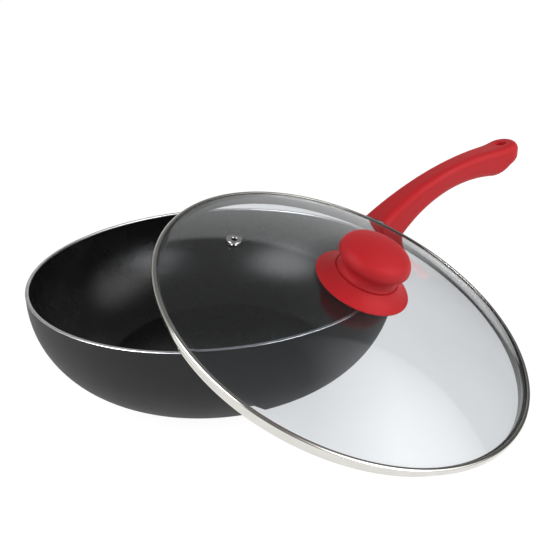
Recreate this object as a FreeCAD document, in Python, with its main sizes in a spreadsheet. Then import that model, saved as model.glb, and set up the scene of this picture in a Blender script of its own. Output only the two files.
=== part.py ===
"""Deep non-stick wok with a soft-grip handle and a domed glass lid leaning on its rim.

The pan's axis is Z, the table is Z = 0 and the handle points along +X.  The lid is drawn
upright about its own axis, its skirt's lower edge at Z = 0, and is then leaned on the rim.
Lengths are in millimetres and angles in degrees.
"""
import FreeCAD, Part
import Sketcher
import math
import os

Vector = FreeCAD.Vector
Rotation = FreeCAD.Rotation
Placement = FreeCAD.Placement
UP = Vector(0, 0, 1)

# Every size that can be set by itself.
SIZES = {
    # pan
    "pan_radius": 140.0,
    "pan_height": 79.4,
    "wall": 2.8,
    "base_radius": 83.5,
    "base_thick": 3.6,
    "rim_band": 8.3,
    "rim_round": 1.1,
    "floor_blend": 14.0,
    "ring_pitch": 13.0,
    "ring_width": 1.4,
    "ring_depth": 0.5,
    # handle bracket and its flame guard
    "bracket_drop": 30.9,
    "bracket_slope": 34.0,
    "bracket_width": 15.0,
    "bracket_thick": 7.0,
    "bracket_reach": 82.0,
    "pad_width": 20.0,
    "pad_height": 15.0,
    "pad_thick": 3.0,
    "guard_sheet": 0.9,
    "guard_root_width": 28.0,
    "guard_root_depth": 24.0,
    "guard_step": 4.2,
    # handle: how far beyond the rim and above it, and how deep and wide
    "front_out": 31.5,
    "front_up": -8.95,
    "front_tilt": 38.5,
    "front_depth": 30.5,
    "front_width": 34.4,
    "waist_out": 157.1,
    "waist_up": 29.5,
    "waist_depth": 25.0,
    "waist_width": 23.2,
    "eye_out": 176.7,
    "end_up": 35.9,
    "end_depth": 25.8,
    "end_width": 30.5,
    "heel_run": 16.4,
    "heel_rise": 4.6,
    "end_fall": 0.3,
    "back_curve": 287.0,
    "belly_curve": 146.0,
    "grip_edge": 6.8,
    "grip_skin": 2.2,
    "eye_radius": 4.6,
    "eye_round": 1.8,
    # handle screw
    "screw_radius": 2.5,
    "screw_fit": 0.05,
    "screw_head_radius": 4.4,
    "screw_head_depth": 3.2,
    "screw_slot": 1.1,
    "screw_reach": 65.0,
    "screw_access": 5.2,
    "spring_thick": 1.2,
    "spring_radius": 4.1,
    "seat_depth": 2.0,
    # lid band
    "lid_overhang": 1.25,
    "band_sheet": 0.5,
    "band_bend": 0.9,
    "band_play": 0.1,
    "band_lip": 3.6,
    "skirt_drop": 6.7,
    "skirt_clearance": 1.0,
    # lid glass
    "glass_thick": 4.0,
    "glass_edge_gap": 0.5,
    "glass_round": 1.2,
    "dome_rise": 24.15,
    "glass_hole": 4.0,
    # vent
    "vent_place": 92.4,
    "vent_turn": -161.7,
    "vent_bore": 2.3,
    "vent_sheet": 0.7,
    "vent_flange": 5.6,
    "vent_curl": 4.2,
    "vent_seal": 0.6,
    "vent_fit": 0.06,
    # knob, finger guard and what clamps them to the glass
    "gasket_thick": 0.8,
    "gasket_radius": 12.0,
    "brim_radius": 34.4,
    "brim_edge": 1.3,
    "brim_gap": 1.1,
    "brim_wall": 2.8,
    "brim_dish": 30.0,
    "collar_radius": 23.4,
    "collar_height": 8.1,
    "foot_radius": 22.3,
    "foot_sink": 1.4,
    "foot_height": 0.8,
    "seam": 0.25,
    "neck_curve": 5.4,
    "under_radius": 24.3,
    "under_height": 18.2,
    "cap_radius": 26.0,
    "cap_height": 21.3,
    "crown_rise": 12.2,
    "shoulder": 9.0,
    "knob_wall": 2.6,
    "boss_radius": 7.0,
    "rib_thick": 1.8,
    "insert_radius": 4.0,
    "insert_length": 11.0,
    "seal_radius": 8.0,
    "seal_thick": 1.2,
    "seal_collar": 3.7,
    "cup_radius": 9.0,
    "cup_sheet": 0.9,
    # how the lid leans on the rim
    "lean_turn": -62.5,
    "lean_shift": -4.9,
    "lean_gap": 0.35,
    "lean_tilt": 25.4,
}

doc = FreeCAD.newDocument("Wok")
sheet = doc.addObject("Spreadsheet::Sheet", "Sizes")
for row, (alias, number) in enumerate(SIZES.items(), start=1):
    sheet.set(f"A{row}", alias)
    sheet.set(f"B{row}", str(number))
    sheet.setAlias(f"B{row}", alias)
doc.recompute()


def full(expression):
    """An expression with each size's name led by the name of the sheet."""
    words = []
    word = ""
    for letter in expression + " ":
        if letter.isalnum() or letter == "_":
            word += letter
        else:
            words.append(f"Sizes.{word}" if word in SIZES else word)
            words.append(letter)
            word = ""
    return "".join(words).strip()


def size(expression):
    """The present value of an expression in the sizes."""
    return float(sheet.evalExpression(full(expression)))


def bind(target, path, expression):
    """Bind one property of a feature to an expression in the sizes."""
    target.setExpression(path, full(expression))


# ---------------------------------------------------------------- sketches and bodies

def origin_plane(body, role):
    """One of a body's own origin planes."""
    return next(plane for plane in body.Origin.OriginFeatures if plane.Role == role)


def new_sketch(body, name, role, offset=None):
    """An empty sketch on one of the body's origin planes, moved by an offset if given."""
    sketch = body.newObject("Sketcher::SketchObject", name)
    sketch.AttachmentSupport = [(origin_plane(body, role), "")]
    sketch.MapMode = "FlatFace"
    if offset is not None:
        sketch.AttachmentOffset = offset
    return sketch


def dimension(sketch, kind, *where, expression):
    """A driving dimension bound to an expression."""
    number = sketch.addConstraint(Sketcher.Constraint(kind, *where, size(expression)))
    sketch.renameConstraint(number, f"size{number}")
    bind(sketch, f"Constraints.size{number}", expression)


def arc_through(start, end, radius, left):
    """The shorter arc between two points, its centre to the left or right of the way."""
    chord = end - start
    rise = math.sqrt(max(radius ** 2 - chord.Length ** 2 / 4, 0.0))
    across = Vector(-chord.y, chord.x, 0).normalize()
    centre = (start + end) / 2 + across * (rise if left else -rise)
    way = (start + end) / 2 - centre
    middle = centre + way.normalize() * radius
    return Part.Arc(start, middle, end)


def arc_tangent(start, end, heading):
    """The arc that leaves the start along a heading and reaches the end."""
    chord = end - start
    across = Vector(-heading.y, heading.x, 0)
    radius = chord.dot(chord) / (2 * chord.dot(across))
    return arc_through(start, end, abs(radius), radius > 0)


def outline(sketch, steps):
    """A closed outline from steps (across, up, kind, radius).

    Each step gives a corner and how the edge that leaves it runs: "line", "left" or "right"
    for an arc with its centre on that side, "after" for an arc tangent to the edge before it
    and "before" for an arc tangent to the edge that follows.
    """
    corners = [Vector(size(across), size(up), 0) for across, up, _, _ in steps]
    count = len(steps)
    curves = {}
    for place, (_, _, kind, radius) in enumerate(steps):
        start = corners[place]
        end = corners[(place + 1) % count]
        if kind == "line":
            curves[place] = Part.LineSegment(start, end)
        elif kind in ("left", "right"):
            curves[place] = arc_through(start, end, size(radius), kind == "left")
    for place, (_, _, kind, _) in enumerate(steps):
        start = corners[place]
        end = corners[(place + 1) % count]
        if kind == "after":
            edge = curves[place - 1].toShape()
            curves[place] = arc_tangent(start, end, edge.tangentAt(edge.LastParameter))
        elif kind == "before":
            edge = curves[(place + 1) % count].toShape()
            back = edge.tangentAt(edge.FirstParameter) * -1
            curves[place] = arc_tangent(end, start, back)
    edges = [sketch.addGeometry(curves[place]) for place in range(count)]
    first = []
    for place, edge in enumerate(edges):
        start = sketch.getPoint(edge, 1)
        first.append(1 if start.distanceToPoint(corners[place]) < 1e-4 else 2)
    for place, edge in enumerate(edges):
        before = edges[place - 1]
        smooth = steps[place][2] == "after" or steps[place - 1][2] == "before"
        joint = "Tangent" if smooth else "Coincident"
        sketch.addConstraint(
            Sketcher.Constraint(joint, before, 3 - first[place - 1], edge, first[place])
        )
    for place, (across, up, kind, radius) in enumerate(steps):
        edge = edges[place]
        if across == "0":
            sketch.addConstraint(Sketcher.Constraint("PointOnObject", edge, first[place], -2))
        else:
            dimension(sketch, "DistanceX", -1, 1, edge, first[place], expression=across)
        if up == "0":
            sketch.addConstraint(Sketcher.Constraint("PointOnObject", edge, first[place], -1))
        else:
            dimension(sketch, "DistanceY", -1, 1, edge, first[place], expression=up)
        if kind in ("left", "right"):
            dimension(sketch, "Radius", edge, expression=radius)


def new_body(label):
    """A body whose label names its file."""
    body = doc.addObject("PartDesign::Body", label)
    body.Label = label
    return body


def revolved(label, steps):
    """A body turned about Z from one half outline drawn in the XZ plane."""
    body = new_body(label)
    sketch = new_sketch(body, f"{label}_half", "XZ_Plane")
    outline(sketch, steps)
    turn = body.newObject("PartDesign::Revolution", f"{label}_turn")
    turn.Profile = sketch
    turn.ReferenceAxis = (sketch, ["V_Axis"])
    turn.Angle = 360
    doc.recompute()
    return body


def grooved(body, name, steps):
    """Turn one more half outline about Z and take it away from the body."""
    sketch = new_sketch(body, f"{name}_half", "XZ_Plane")
    outline(sketch, steps)
    groove = body.newObject("PartDesign::Groove", name)
    groove.Profile = sketch
    groove.ReferenceAxis = (sketch, ["V_Axis"])
    groove.Angle = 360
    doc.recompute()


def padded(body, name, role, steps, length, offset=None):
    """Pad an outline evenly to both sides of an origin plane."""
    sketch = new_sketch(body, f"{name}_outline", role, offset)
    outline(sketch, steps)
    pad = body.newObject("PartDesign::Pad", name)
    pad.Profile = sketch
    pad.Midplane = True
    bind(pad, "Length", length)
    doc.recompute()


def pocketed(body, name, sketch):
    """Cut a sketch right through the body to both sides of its plane."""
    pocket = body.newObject("PartDesign::Pocket", name)
    pocket.Profile = sketch
    pocket.Midplane = True
    pocket.Type = "ThroughAll"
    doc.recompute()


def rounded(body, name, radius, wanted):
    """Fillet the edges of the body's present shape that a test picks."""
    tip = body.Tip
    names = [f"Edge{n}" for n, edge in enumerate(tip.Shape.Edges, start=1) if wanted(edge)]
    if not names:
        raise RuntimeError(f"no edge to round for {name}")
    fillet = body.newObject("PartDesign::Fillet", name)
    fillet.Base = (tip, names)
    bind(fillet, "Radius", radius)
    doc.recompute()


def at_ring(*rings):
    """A test for circular edges about Z, each given by its radius and height."""
    def wanted(edge):
        if not isinstance(edge.Curve, Part.Circle):
            return False
        return any(
            abs(edge.Curve.Radius - size(radius)) < 0.01
            and abs(edge.Curve.Center.z - size(height)) < 0.01
            for radius, height in rings
        )
    return wanted


def combined(kind, label, base, tool):
    """A boolean of two objects, such as Part::Cut."""
    result = doc.addObject(kind, label)
    result.Label = label
    result.Base = base
    result.Tool = tool
    doc.recompute()
    return result


def cylinder(name, radius, height, place):
    """A tool cylinder with its foot at a place and its axis along the place's Z."""
    tool = doc.addObject("Part::Cylinder", name)
    bind(tool, "Radius", radius)
    bind(tool, "Height", height)
    tool.Placement = place
    doc.recompute()
    return tool


def plate(name, along, across, height, foot):
    """A tool box centred on Z that starts at a height."""
    tool = doc.addObject("Part::Box", name)
    bind(tool, "Length", along)
    bind(tool, "Width", across)
    bind(tool, "Height", height)
    bind(tool, "Placement.Base.x", f"-({along}) / 2")
    bind(tool, "Placement.Base.y", f"-({across}) / 2")
    bind(tool, "Placement.Base.z", foot)
    doc.recompute()
    return tool


def ring(label, inner, outer, low, high):
    """A plain flat ring about Z."""
    return revolved(label, [
        (inner, low, "line", None),
        (outer, low, "line", None),
        (outer, high, "line", None),
        (inner, high, "line", None),
    ])


# ---------------------------------------------------------------- pan

WALL_RUN = "(pan_radius - base_radius)"
WALL_TOP = "(pan_height - rim_band)"
WALL_CURVE = f"(({WALL_RUN}^2 + {WALL_TOP}^2) / (2 * {WALL_RUN}))"
FLOOR_RADIUS = (
    f"(pan_radius - {WALL_CURVE}"
    f" + sqrt(({WALL_CURVE} - wall)^2 - ({WALL_TOP} - base_thick)^2))"
)


def wall_across(height, beyond="0"):
    """How far from the axis the wall's outside, or a skin beyond it, lies at a height."""
    drop = f"({WALL_TOP} - {height})"
    return f"(pan_radius - {WALL_CURVE} + sqrt(({WALL_CURVE} + {beyond})^2 - {drop}^2))"


def make_bowl():
    """The pan: one pressed aluminium bowl with a machined lip and a ringed base."""
    body = revolved("pan_bowl", [
        ("0", "0", "line", None),
        ("base_radius", "0", "left", WALL_CURVE),
        ("pan_radius", WALL_TOP, "line", None),
        ("pan_radius", "pan_height", "line", None),
        ("pan_radius - wall", "pan_height", "line", None),
        ("pan_radius - wall", WALL_TOP, "right", f"{WALL_CURVE} - wall"),
        (FLOOR_RADIUS, "base_thick", "line", None),
        ("0", "base_thick", "line", None),
    ])
    rounded(body, "floor_corner", "floor_blend", at_ring((FLOOR_RADIUS, "base_thick")))
    rounded(body, "rim_edges", "rim_round",
            at_ring(("pan_radius", "pan_height"), ("pan_radius - wall", "pan_height")))
    rings = int(size("(base_radius - ring_width) / ring_pitch"))
    for number in range(1, rings + 1):
        inner = f"{number} * ring_pitch"
        grooved(body, f"base_ring_{number}", [
            (inner, "-ring_depth", "line", None),
            (f"{inner} + ring_width", "-ring_depth", "line", None),
            (f"{inner} + ring_width", "ring_depth", "line", None),
            (inner, "ring_depth", "line", None),
        ])
    return body


def make_bowl_envelope():
    """The space inside the bowl's outer skin, which trims what stands on the wall."""
    return revolved("bowl_envelope", [
        ("0", "0", "line", None),
        ("base_radius", "0", "left", WALL_CURVE),
        ("pan_radius", WALL_TOP, "line", None),
        ("pan_radius", "pan_height", "line", None),
        ("0", "pan_height", "line", None),
    ])


# ---------------------------------------------------------------- handle bracket

BRACKET_HEIGHT = "(pan_height - bracket_drop)"
SCREW_SEAT = "(bracket_thick / 2 + seat_depth)"


def bracket_frame(along="0", across="0"):
    """A place on the bracket's centre line in the XZ plane, X along the line."""
    slope = math.radians(size("bracket_slope"))
    foot = Vector(size(wall_across(BRACKET_HEIGHT)), size(BRACKET_HEIGHT), 0)
    way = Vector(math.cos(slope), math.sin(slope), 0)
    side = Vector(-math.sin(slope), math.cos(slope), 0)
    place = foot + way * size(along) + side * size(across)
    return Placement(place, Rotation(UP, size("bracket_slope")))


def stood_up(flat):
    """The same place in space, for a flat placement drawn in the XZ plane."""
    return Placement(Vector(), Rotation(Vector(1, 0, 0), 90)).multiply(flat)


def screw_frame(depth):
    """A place on the handle screw's axis, a depth below the bracket's centre line."""
    flat = bracket_frame("screw_reach", f"-({depth})")
    return stood_up(flat).multiply(Placement(Vector(), Rotation(Vector(1, 0, 0), -90)))


def make_bracket(envelope):
    """The cast bracket, before and after its screw hole is drilled.

    It has a foot welded to the wall and a straight tongue that reaches into the handle.
    """
    body = new_body("bracket_blank")
    low = f"({BRACKET_HEIGHT} - pad_height / 2)"
    high = f"({BRACKET_HEIGHT} + pad_height / 2)"
    inside = f"({wall_across(low)} - wall)"
    padded(body, "foot", "XZ_Plane", [
        (inside, low, "line", None),
        (wall_across(low, "pad_thick"), low, "left", f"{WALL_CURVE} + pad_thick"),
        (wall_across(high, "pad_thick"), high, "line", None),
        (inside, high, "line", None),
    ], "pad_width")
    padded(body, "tongue", "XZ_Plane", [
        ("-wall", "-bracket_thick / 2", "line", None),
        ("bracket_reach", "-bracket_thick / 2", "line", None),
        ("bracket_reach", "bracket_thick / 2", "line", None),
        ("-wall", "bracket_thick / 2", "line", None),
    ], "bracket_width", bracket_frame())
    trimmed = combined("Part::Cut", "bracket_trimmed", body, envelope)
    hole = cylinder("bracket_hole", "screw_radius + screw_fit", "2 * bracket_thick",
                    screw_frame("bracket_thick"))
    return trimmed, combined("Part::Cut", "handle_bracket", trimmed, hole)


# ---------------------------------------------------------------- flame guard

FRONT_ACROSS = "(pan_radius + front_out)"
FRONT_HEIGHT = "(pan_height + front_up)"


def oval(body, name, centre, tilt, width, depth):
    """A wide oval across the handle's run, its plane leaning back by a tilt."""
    lie = Placement(centre, Rotation(Vector(0, 1, 0), -tilt))
    plane = Placement(Vector(), Rotation(Vector(1, 1, 1), 120))
    sketch = new_sketch(body, name, "YZ_Plane", plane.inverse().multiply(lie).multiply(plane))
    across = Vector(size(width) / 2, 0, 0)
    along = Vector(0, size(depth) / 2, 0)
    edge = sketch.addGeometry(Part.Ellipse(across, along, Vector()))
    sketch.exposeInternalGeometry(edge)
    sketch.addConstraint(Sketcher.Constraint("Coincident", edge, 3, -1, 1))
    sketch.addConstraint(Sketcher.Constraint("Horizontal", edge + 1))
    dimension(sketch, "Distance", edge + 1, expression=width)
    dimension(sketch, "Distance", edge + 2, expression=depth)
    return sketch


def make_flame_guard(envelope):
    """The steel sleeve that covers the bracket between the wall and the handle."""
    body = new_body("guard_blank")
    root = stood_up(bracket_frame("-3 * wall")).Base
    front = Vector(size(FRONT_ACROSS), 0, size(FRONT_HEIGHT))
    for name, kind, skin in (("outside", "AdditiveLoft", "0"),
                             ("inside", "SubtractiveLoft", "guard_sheet")):
        first = oval(body, f"{name}_root", root, size("bracket_slope"),
                     f"guard_root_width - 2 * {skin}",
                     f"guard_root_depth - 2 * {skin}")
        last = oval(body, f"{name}_front", front, size("front_tilt"),
                    f"front_width - 2 * guard_step - 2 * {skin}",
                    f"front_depth - 2 * guard_step - 2 * {skin}")
        loft = body.newObject(f"PartDesign::{kind}", f"{name}_loft")
        loft.Profile = first
        loft.Sections = [last]
        loft.Ruled = True
        doc.recompute()
    return combined("Part::Cut", "flame_guard", body, envelope)


# ---------------------------------------------------------------- handle

WAIST_ACROSS = "(pan_radius + waist_out)"
WAIST_HEIGHT = "(pan_height + waist_up)"
EYE_ACROSS = "(pan_radius + eye_out)"
END_ACROSS = f"({EYE_ACROSS} + 0.57 * end_width)"
END_HEIGHT = "(pan_height + end_up)"
PLAN_START = f"({FRONT_ACROSS} - front_depth)"
SIDE_RUN = f"(({EYE_ACROSS} - {PLAN_START}) / 2)"
SIDE_DIP = "((front_width + end_width) / 4 - waist_width / 2)"
SIDE_CURVE = f"(({SIDE_RUN}^2 + {SIDE_DIP}^2) / (2 * {SIDE_DIP}))"


def handle_side(inset):
    """The handle's outline seen from the side, drawn in by an inset but for its front."""
    front = f"(front_depth / 2 - {inset})"
    waist = f"(waist_depth / 2 - {inset})"
    end = f"(end_depth / 2 - {inset})"
    lean = f"{front} * sin(front_tilt)"
    rise = f"{front} * cos(front_tilt)"
    return [
        (f"{FRONT_ACROSS} + {lean}", f"{FRONT_HEIGHT} - {rise}", "right", f"belly_curve + {inset}"),
        (WAIST_ACROSS, f"{WAIST_HEIGHT} - {waist}", "after", None),
        (f"{END_ACROSS} - heel_run", f"{END_HEIGHT} - {end}", "after", None),
        (END_ACROSS, f"{END_HEIGHT} - {end} + heel_rise", "line", None),
        (END_ACROSS, f"{END_HEIGHT} + {end} - end_fall", "before", None),
        (WAIST_ACROSS, f"{WAIST_HEIGHT} + {waist}", "left", f"back_curve - {inset}"),
        (f"{FRONT_ACROSS} - {lean}", f"{FRONT_HEIGHT} + {rise}", "line", None),
    ]


def handle_plan(inset):
    """The handle's outline seen from above: hollow sides and a round end."""
    front = f"(front_width / 2 - {inset})"
    end = f"(end_width / 2 - {inset})"
    return [
        (PLAN_START, f"-{front}", "right", f"{SIDE_CURVE} + {inset}"),
        (EYE_ACROSS, f"-{end}", "after", None),
        (EYE_ACROSS, end, "right", f"{SIDE_CURVE} + {inset}"),
        (PLAN_START, front, "line", None),
    ]


def make_handle_blank(label, inset, eye_radius):
    """A solid handle with rounded long edges and the hanging eye, drawn in by an inset."""
    body = new_body(label)
    padded(body, f"{label}_side", "XZ_Plane", handle_side(inset), "front_width + end_width")
    around = new_sketch(body, f"{label}_around", "XY_Plane")
    outline(around, handle_plan(inset))
    outline(around, [
        (f"{PLAN_START} - front_depth", "-front_width - end_width", "line", None),
        (f"{END_ACROSS} + end_width", "-front_width - end_width", "line", None),
        (f"{END_ACROSS} + end_width", "front_width + end_width", "line", None),
        (f"{PLAN_START} - front_depth", "front_width + end_width", "line", None),
    ])
    pocketed(body, f"{label}_plan", around)
    front = Vector(size(FRONT_ACROSS), 0, size(FRONT_HEIGHT))
    tilt = math.radians(size("front_tilt"))
    out = Vector(math.cos(tilt), 0, math.sin(tilt))

    def long_edge(edge):
        ends = [vertex.Point for vertex in edge.Vertexes]
        at_front = all(abs((end - front).dot(out)) < 0.01 for end in ends)
        return not at_front and not isinstance(edge.Curve, Part.Line)

    rounded(body, f"{label}_edges", f"grip_edge - {inset}", long_edge)
    eye = new_sketch(body, f"{label}_eye_ring", "XY_Plane")
    centre = Vector(size(EYE_ACROSS), 0, 0)
    circle = eye.addGeometry(Part.Circle(centre, UP, size(eye_radius)))
    eye.addConstraint(Sketcher.Constraint("PointOnObject", circle, 3, -1))
    dimension(eye, "DistanceX", -1, 1, circle, 3, expression=EYE_ACROSS)
    dimension(eye, "Radius", circle, expression=eye_radius)
    pocketed(body, f"{label}_eye", eye)
    return body


def make_grip_blank():
    """The outer skin's blank, its hanging eye rounded at both mouths."""
    body = make_handle_blank("grip_blank", "0", "eye_radius")
    axis = Vector(size(EYE_ACROSS), 0, 0)

    def mouth(edge):
        middle = edge.valueAt((edge.FirstParameter + edge.LastParameter) / 2)
        flat = Vector(middle.x, middle.y, 0)
        near = abs(flat.distanceToPoint(axis) - size("eye_radius")) < 0.01
        return near and not isinstance(edge.Curve, Part.Line)

    rounded(body, "eye_mouths", "eye_round", mouth)
    return body


def make_screw(label, head, tip, place):
    """A cross-recess pan-head screw, its head below a height and its point at another."""
    low = f"({head} - screw_head_depth)"
    body = revolved(f"{label}_blank", [
        ("0", low, "line", None),
        ("screw_head_radius", low, "line", None),
        ("screw_head_radius", head, "line", None),
        ("screw_radius", head, "line", None),
        ("screw_radius", f"{tip} - screw_radius / 2", "line", None),
        ("screw_radius / 2", tip, "line", None),
        ("0", tip, "line", None),
    ])
    rounded(body, f"{label}_head", "screw_head_depth / 2", at_ring(("screw_head_radius", low)))
    recess = None
    for turn in range(2):
        sides = ("screw_head_radius * 1.3", "screw_slot")
        along, across = sides if turn == 0 else sides[::-1]
        bar = plate(f"{label}_recess_{turn}", along, across, "screw_head_depth", low)
        bind(bar, "Height", "screw_head_depth * 0.6")
        recess = bar if recess is None else combined("Part::Fuse", f"{label}_cross", recess, bar)
    screw = combined("Part::Cut", label, body, recess)
    screw.Placement = place
    doc.recompute()
    return screw


def make_spring_washer(place):
    """The split ring under the handle screw's head."""
    blank = ring("spring_blank", "screw_radius + screw_fit", "spring_radius", "0", "spring_thick")
    split = plate("spring_split", "spring_radius", "screw_slot / 2", "spring_thick", "0")
    bind(split, "Placement.Base.x", "screw_radius / 2")
    washer = combined("Part::Cut", "spring_washer", blank, split)
    washer.Placement = place
    doc.recompute()
    return washer


def make_handle(tongue):
    """The core, the soft skin moulded over it and the screw that holds them."""
    grip_blank = make_grip_blank()
    core_blank = make_handle_blank("core_blank", "grip_skin", "eye_radius + grip_skin")
    access = cylinder("screw_access_way", "screw_access", "front_depth",
                      screw_frame(f"{SCREW_SEAT} + front_depth"))
    bore = cylinder("screw_bore", "screw_radius + screw_fit", "bracket_thick",
                    screw_frame(f"{SCREW_SEAT} + screw_fit"))
    way = combined("Part::Fuse", "screw_way", access, bore)
    socketed = combined("Part::Cut", "core_socketed", core_blank, tongue)
    core = combined("Part::Cut", "handle_core", socketed, way)
    shell = combined("Part::Cut", "grip_shell", grip_blank, core_blank)
    grip = combined("Part::Cut", "handle_grip", shell, access)
    washer = make_spring_washer(screw_frame(f"{SCREW_SEAT} + spring_thick"))
    screw = make_screw("handle_screw", "0", f"{SCREW_SEAT} + spring_thick + bracket_thick / 2",
                       screw_frame(f"{SCREW_SEAT} + spring_thick"))
    return [core, grip, screw, washer]


# ---------------------------------------------------------------- lid

LID_RADIUS = "(pan_radius + lid_overhang)"
SKIRT_RADIUS = "(pan_radius - wall - skirt_clearance)"
BAND_TOP = "(skirt_drop + 2 * band_sheet + glass_thick + band_play)"
GLASS_RADIUS = f"({LID_RADIUS} - band_sheet - glass_edge_gap)"
GLASS_LOW = "(skirt_drop + band_sheet)"
GLASS_TOP = f"({GLASS_LOW} + glass_thick)"
DOME_FOOT = f"({LID_RADIUS} - band_lip)"
DOME_CURVE = f"(({DOME_FOOT}^2 + dome_rise^2) / (2 * dome_rise))"
APEX = f"({GLASS_TOP} + dome_rise)"
DOME_CENTRE = f"({APEX} - {DOME_CURVE})"


def make_band():
    """The steel band: a lip over the glass, a shelf under it and a skirt inside the rim."""
    inside = f"({LID_RADIUS} - band_sheet)"
    body = revolved("lid_band", [
        (f"{SKIRT_RADIUS} - band_sheet", "0", "line", None),
        (SKIRT_RADIUS, "0", "line", None),
        (SKIRT_RADIUS, "skirt_drop", "line", None),
        (LID_RADIUS, "skirt_drop", "line", None),
        (LID_RADIUS, BAND_TOP, "line", None),
        (DOME_FOOT, BAND_TOP, "line", None),
        (DOME_FOOT, f"{BAND_TOP} - band_sheet", "line", None),
        (inside, f"{BAND_TOP} - band_sheet", "line", None),
        (inside, GLASS_LOW, "line", None),
        (f"{SKIRT_RADIUS} - band_sheet", GLASS_LOW, "line", None),
    ])
    rounded(body, "band_bends", "band_bend", at_ring(
        (LID_RADIUS, "skirt_drop"),
        (LID_RADIUS, BAND_TOP),
        (f"{SKIRT_RADIUS} - band_sheet", GLASS_LOW),
    ))
    rounded(body, "band_inner_bends", "band_bend - band_sheet", at_ring(
        (inside, f"{BAND_TOP} - band_sheet"),
        (inside, GLASS_LOW),
        (SKIRT_RADIUS, "skirt_drop"),
    ))
    return body


def vent_frame():
    """The vent's place on top of the dome, Z out of the glass."""
    tilt = math.degrees(math.asin(size("vent_place") / size(DOME_CURVE)))
    turn = Rotation(UP, size("vent_turn")).multiply(Rotation(Vector(0, 1, 0), tilt))
    place = Vector(0, 0, size(DOME_CENTRE)) + turn.multVec(UP) * size(DOME_CURVE)
    return Placement(place, turn)


def make_glass():
    """The domed glass with a flat rim, a hole for the knob and one for the vent."""
    body = revolved("glass_blank", [
        ("glass_hole", f"{DOME_CENTRE} + sqrt(({DOME_CURVE} - glass_thick)^2 - glass_hole^2)",
         "right", f"{DOME_CURVE} - glass_thick"),
        (f"sqrt(({DOME_CURVE} - glass_thick)^2 - ({GLASS_LOW} - {DOME_CENTRE})^2)",
         GLASS_LOW, "line", None),
        (GLASS_RADIUS, GLASS_LOW, "line", None),
        (GLASS_RADIUS, GLASS_TOP, "line", None),
        (DOME_FOOT, GLASS_TOP, "left", DOME_CURVE),
        ("glass_hole", f"{DOME_CENTRE} + sqrt({DOME_CURVE}^2 - glass_hole^2)", "line", None),
    ])
    rounded(body, "glass_edge", "glass_round",
            at_ring((GLASS_RADIUS, GLASS_LOW), (GLASS_RADIUS, GLASS_TOP)))
    below = vent_frame().multiply(Placement(Vector(0, 0, -2 * size("glass_thick")), Rotation()))
    hole = cylinder("vent_hole", "vent_bore + vent_sheet + vent_fit", "3 * glass_thick", below)
    return combined("Part::Cut", "lid_glass", body, hole)


def make_vent():
    """The steam vent: a steel eyelet rolled over a silicone ring."""
    outer = "(vent_bore + vent_sheet)"
    low = "-(glass_thick + vent_fit)"
    top = "(vent_seal + vent_sheet)"
    eyelet = revolved("vent_eyelet", [
        ("vent_bore", f"{low} - vent_sheet", "line", None),
        ("vent_curl", f"{low} - vent_sheet", "line", None),
        ("vent_curl", low, "line", None),
        (outer, low, "line", None),
        (outer, "vent_seal", "line", None),
        ("vent_flange", "vent_seal", "line", None),
        ("vent_flange", top, "line", None),
        ("vent_bore", top, "line", None),
    ])
    rounded(eyelet, "vent_rolls", "vent_sheet * 0.7", at_ring(
        ("vent_flange", top),
        ("vent_bore", top),
        ("vent_curl", f"{low} - vent_sheet"),
        ("vent_bore", f"{low} - vent_sheet"),
    ))
    seal = ring("vent_seal_ring", outer, "vent_flange - vent_seal", "0", "vent_seal")
    return [eyelet, seal]


# ---------------------------------------------------------------- knob

BRIM_LOW = f"({APEX} + brim_gap + sqrt({DOME_CURVE}^2 - brim_radius^2) - {DOME_CURVE})"
GASKET_TOP = f"({APEX} + gasket_thick)"
COLLAR_TOP = f"({APEX} + collar_height)"
KNOB_LOW = f"({COLLAR_TOP} - foot_sink)"
WEB_LOW = f"({KNOB_LOW} - brim_wall)"
CAP_LEVEL = f"({APEX} + cap_height)"
CROWN_CURVE = "(((cap_radius - shoulder)^2 + crown_rise^2 - shoulder^2) / (2 * (crown_rise - shoulder)))"
CROWN_CENTRE = f"({CAP_LEVEL} + crown_rise - {CROWN_CURVE})"


def make_finger_guard():
    """The wide brim under the knob: a dished shell with a boss that stands on the gasket."""
    hole = "(screw_radius + screw_fit)"
    boss = "(gasket_radius + seam)"
    return revolved("finger_guard", [
        (hole, GASKET_TOP, "line", None),
        (boss, GASKET_TOP, "line", None),
        (boss, WEB_LOW, "line", None),
        ("collar_radius - brim_wall", WEB_LOW, "right", "brim_dish + brim_wall"),
        ("brim_radius - brim_wall", BRIM_LOW, "line", None),
        ("brim_radius - brim_edge / 2", BRIM_LOW, "left", "brim_edge / 2"),
        ("brim_radius", f"{BRIM_LOW} + brim_edge / 2", "left", "brim_edge / 2"),
        ("brim_radius - brim_edge / 2", f"{BRIM_LOW} + brim_edge", "right", "brim_dish"),
        ("collar_radius", COLLAR_TOP, "line", None),
        ("foot_radius + seam", COLLAR_TOP, "line", None),
        ("foot_radius + seam", KNOB_LOW, "line", None),
        (hole, KNOB_LOW, "line", None),
    ])


def crown_join(inset):
    """Where the shoulder and crown arcs of the cap, drawn in by an inset, meet."""
    span = f"({CROWN_CURVE} - shoulder)"
    reach = f"(shoulder - {inset})"
    across = f"(cap_radius - shoulder + {reach} * (cap_radius - shoulder) / {span})"
    up = f"({CAP_LEVEL} + {reach} * ({CAP_LEVEL} - {CROWN_CENTRE}) / {span})"
    return across, up


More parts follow.
